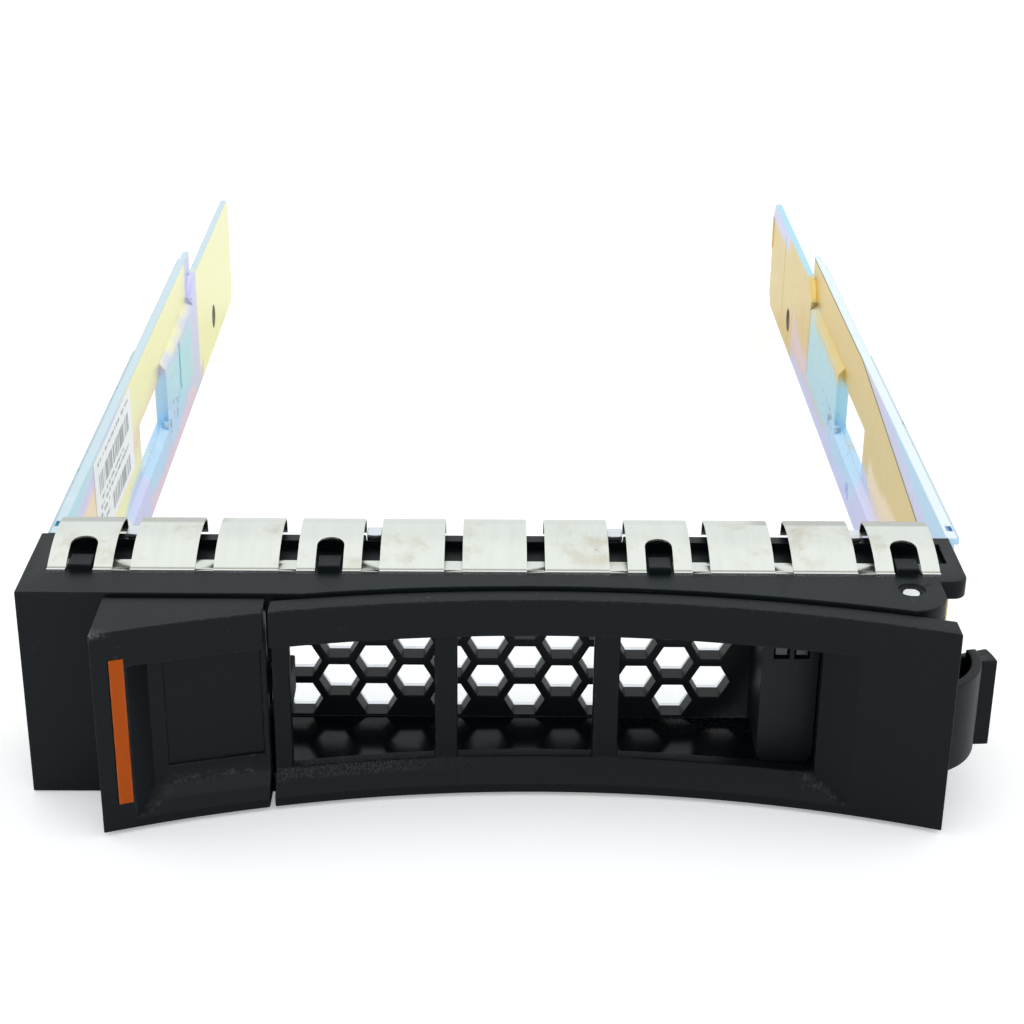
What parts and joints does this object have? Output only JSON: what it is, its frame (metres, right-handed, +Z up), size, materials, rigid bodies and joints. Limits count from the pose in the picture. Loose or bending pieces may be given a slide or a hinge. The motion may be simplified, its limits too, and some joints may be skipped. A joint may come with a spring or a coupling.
{
  "type": "hard disk drive carrier",
  "caption": "Empty hot-swap carrier for a hard disk drive: plastic bezel with a hinged cam lever and a sliding latch, a spring-finger shield strip and sheet-metal side rails.",
  "frame": {"origin": "middle of the bezel's underside, on the centreline between the rails", "axes": "+X to the right across the front, +Y from the bezel to the connector end, +Z up"},
  "size_m": [0.1098, 0.1804, 0.0276],
  "materials": {
    "bezel_plastic": "satin black, lightly textured",
    "lever_plastic": "satin black, scuffed at the edges",
    "latch_plastic": "satin black, scuffed at the corner",
    "indicator_plastic": "satin black",
    "touch_orange": "terracotta orange, satin",
    "light_pipe_clear": "translucent grey",
    "plate_zinc": "zinc plated",
    "rail_zinc": "yellow iridescent zinc plating",
    "shield_steel": "stainless spring steel, stained",
    "pin_steel": "bright steel",
    "spring_steel": "drawn wire",
    "screw_steel": "zinc plated",
    "label_white": "white sticker, semi-gloss"
  },
  "bodies": {
    "carrier": {"bezel_housing": "bezel_plastic", "front_plate": "plate_zinc", "shield_strip": "shield_steel", "hinge_pin": "pin_steel", "lever_spring": "spring_steel", "latch_spring": "spring_steel", "indicator_block": "indicator_plastic", "activity_light_pipe": "light_pipe_clear", "fault_light_pipe": "light_pipe_clear", "left_rail": "rail_zinc", "right_rail": "rail_zinc", "frame_screws": "screw_steel", "rail_label": "label_white"},
    "lever": {"lever": "lever_plastic"},
    "latch": {"release_latch": "latch_plastic", "touch_stripe": "touch_orange"}
  },
  "joints": [
    {"name": "lever_hinge", "type": "hinge", "parent": "carrier", "child": "lever", "pos_m": [0.0451, -0.0058, 0.0128], "axis": [0, 0, 1], "range_deg": [0, 50]},
    {"name": "latch_slide", "type": "slide", "parent": "carrier", "child": "latch", "axis": [-1, 0, 0], "range_m": [0, 0.0025], "stiffness_N_per_m": 300, "springref_m": -0.001, "deforming": ["latch_spring"]}
  ]
}
